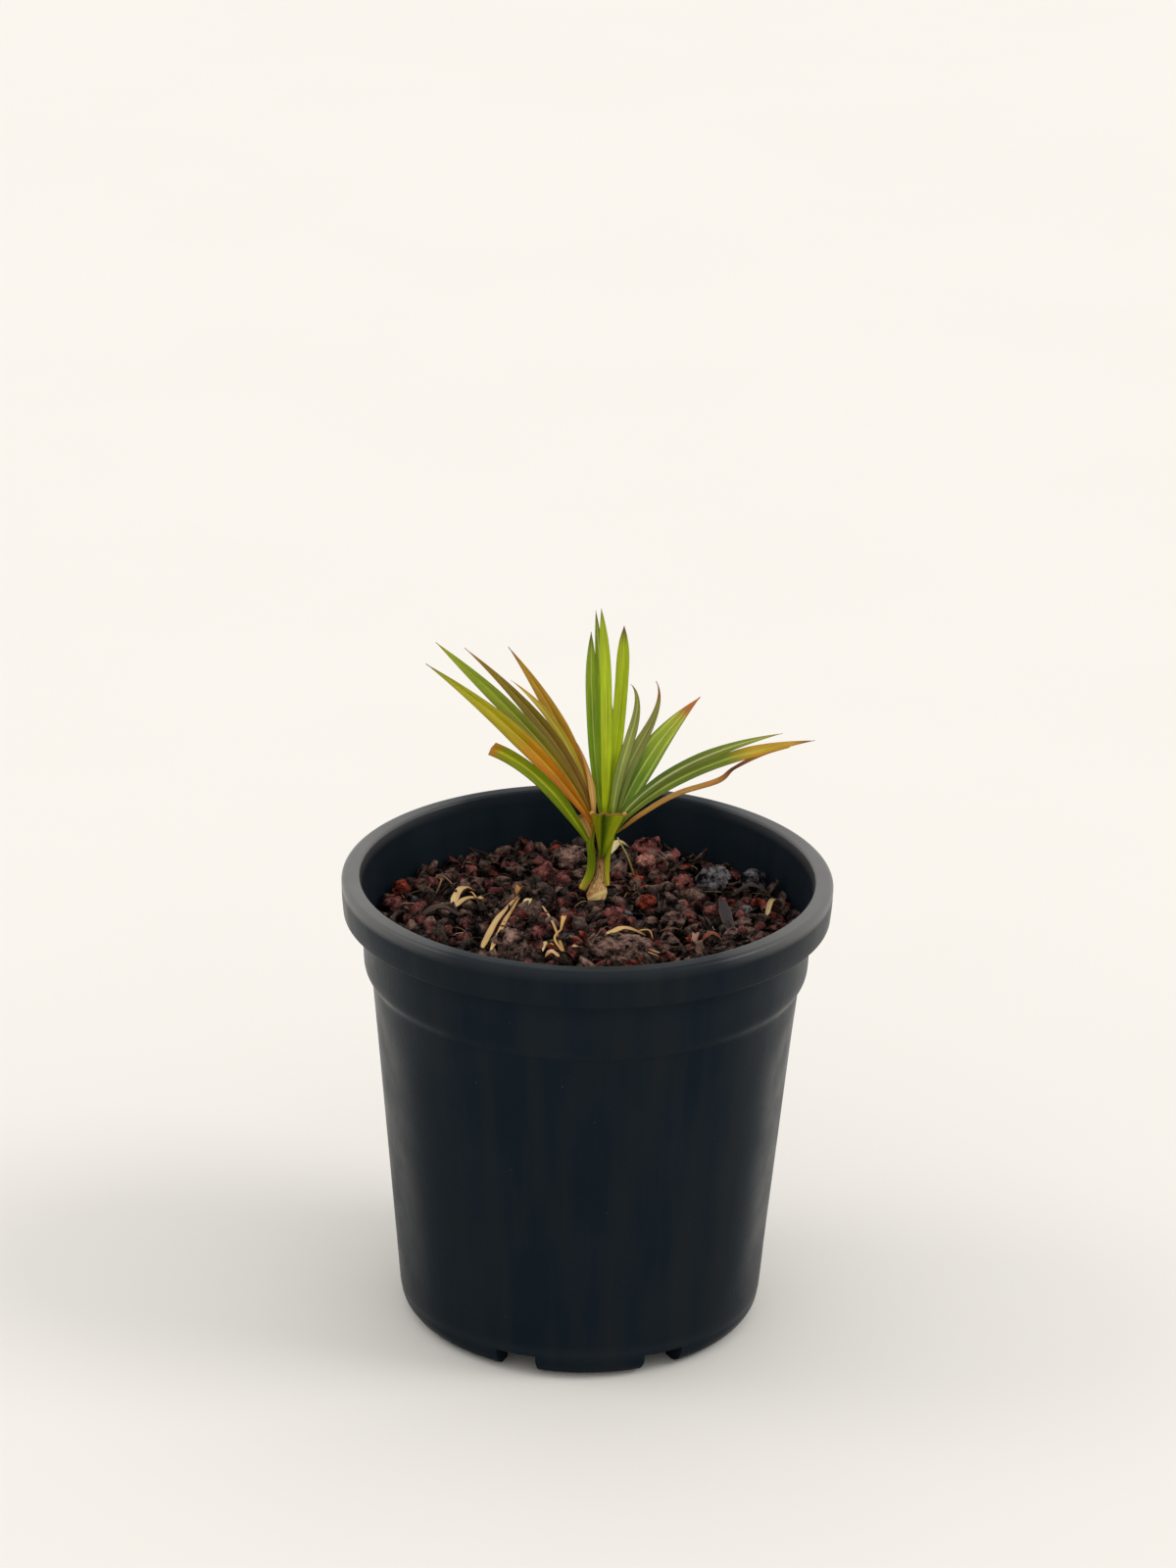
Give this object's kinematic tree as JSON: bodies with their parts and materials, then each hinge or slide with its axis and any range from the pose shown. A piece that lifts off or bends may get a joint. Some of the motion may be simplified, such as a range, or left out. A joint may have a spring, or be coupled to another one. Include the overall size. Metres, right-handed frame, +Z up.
{
  "type": "potted seedling fan palm",
  "caption": "Seedling fan palm with narrow strap leaves in fans, one cut off level, in a round black nursery pot filled with bark and lava mix.",
  "frame": {"origin": "on the pot's axis, at the level of the ground the pot stands on", "axes": "+Z up along the pot's axis; -Y is the side the picture was taken from, +X is its right"},
  "size_m": [0.2, 0.2, 0.294],
  "materials": {
    "pot_plastic": "moulded black polypropylene, fine orange-peel grain",
    "bark_mix": "damp dark bark, coarse and matte",
    "lava_rock": "porous maroon lava chips, matte",
    "stem_tan": "tan fibrous stem base",
    "strap_olive": "pleated leaf, olive green going golden at the foot",
    "strap_green": "pleated leaf, dark green with pale ribs",
    "strap_new": "young pleated leaf, bright yellow-green, soft sheen",
    "strap_cut": "folded leaf with a dry brown cut edge",
    "dry_straw": "dry tan leaf scraps and straws"
  },
  "bodies": {
    "root": {"pot": "pot_plastic", "potting_mix": "bark_mix", "stem_base": "stem_tan", "frond_left": "strap_olive", "frond_right": "strap_green", "frond_centre": "strap_new", "frond_cut": "strap_cut", "folded_straw": "dry_straw", "dry_twig": "dry_straw", "dry_leaf_front": "dry_straw", "curved_straw": "dry_straw", "dark_leaf": "dry_straw", "dry_leaf_left": "dry_straw", "leaning_straw": "dry_straw", "rock_back_right": "lava_rock", "rock_grey_right": "lava_rock", "rock_grey_far_right": "lava_rock", "rock_front_left": "lava_rock", "rock_front": "lava_rock", "rock_mid_right": "lava_rock", "rock_red_near": "lava_rock", "rock_red_front": "lava_rock", "rock_back_left": "lava_rock", "rock_red_left": "lava_rock", "rock_red_right": "lava_rock", "rock_pink": "lava_rock", "rock_brown_front": "lava_rock", "rock_red_wall": "lava_rock"}
  },
  "joints": []
}
